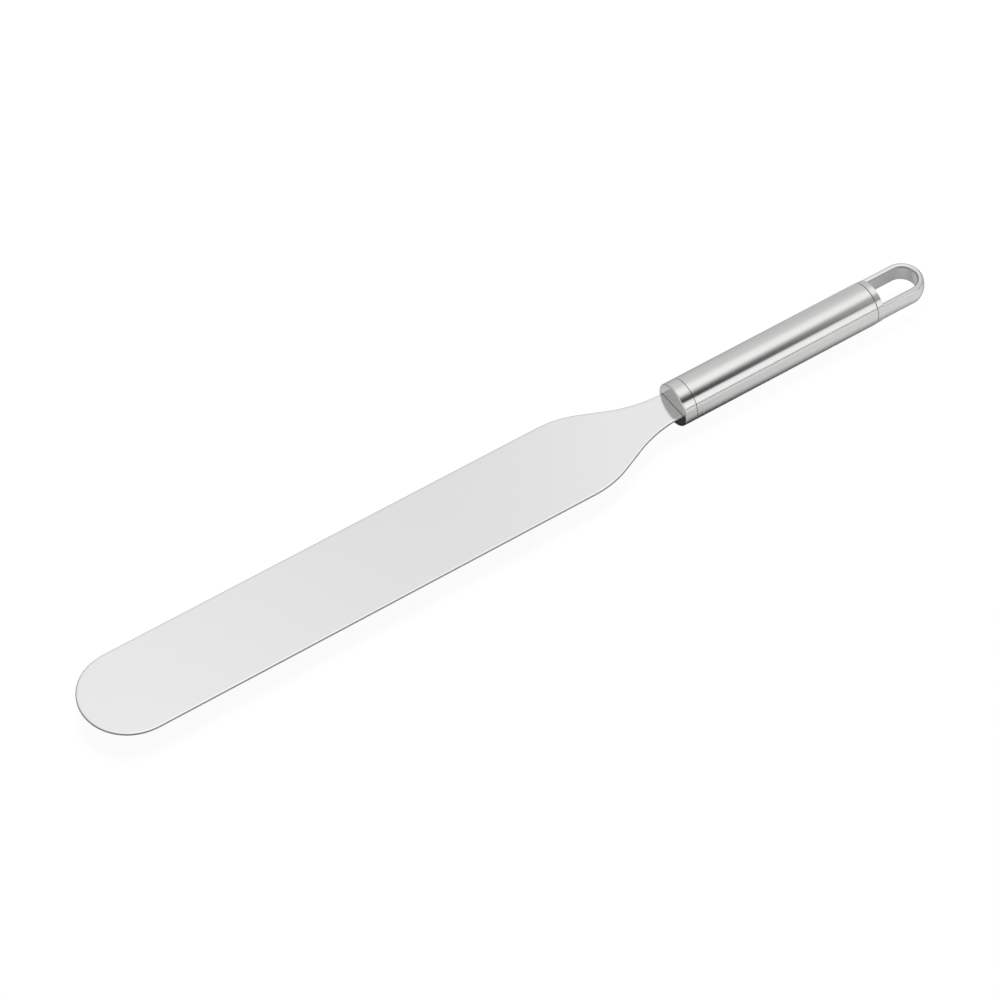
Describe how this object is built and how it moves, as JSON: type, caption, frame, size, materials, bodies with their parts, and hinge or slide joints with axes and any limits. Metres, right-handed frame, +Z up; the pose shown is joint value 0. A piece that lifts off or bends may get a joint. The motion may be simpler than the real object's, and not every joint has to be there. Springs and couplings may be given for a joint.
{
  "type": "straight spatula",
  "caption": "Straight steel spreading spatula: a long flexible blade with a round tip, a round tube handle with a slotted front cap, and a milled loop at the end to hang it by.",
  "frame": {"origin": "centre of the whole tool's bounding box, on the handle's axis and in the middle of the blade's sheet", "axes": "+X runs along the tool from the blade's tip to the hanging loop, +Y across the blade, +Z up, square to the blade's flat"},
  "size_m": [0.4249, 0.044, 0.02],
  "materials": {
    "blade_steel": "fine satin, near mirror",
    "handle_steel": "satin, brushed round the handle",
    "pin_steel": "turned"
  },
  "bodies": {
    "root": {"blade": "blade_steel", "front_cap": "handle_steel", "handle_tube": "handle_steel", "hanging_loop": "handle_steel", "tang_pin_front": "pin_steel", "tang_pin_rear": "pin_steel"}
  },
  "joints": []
}
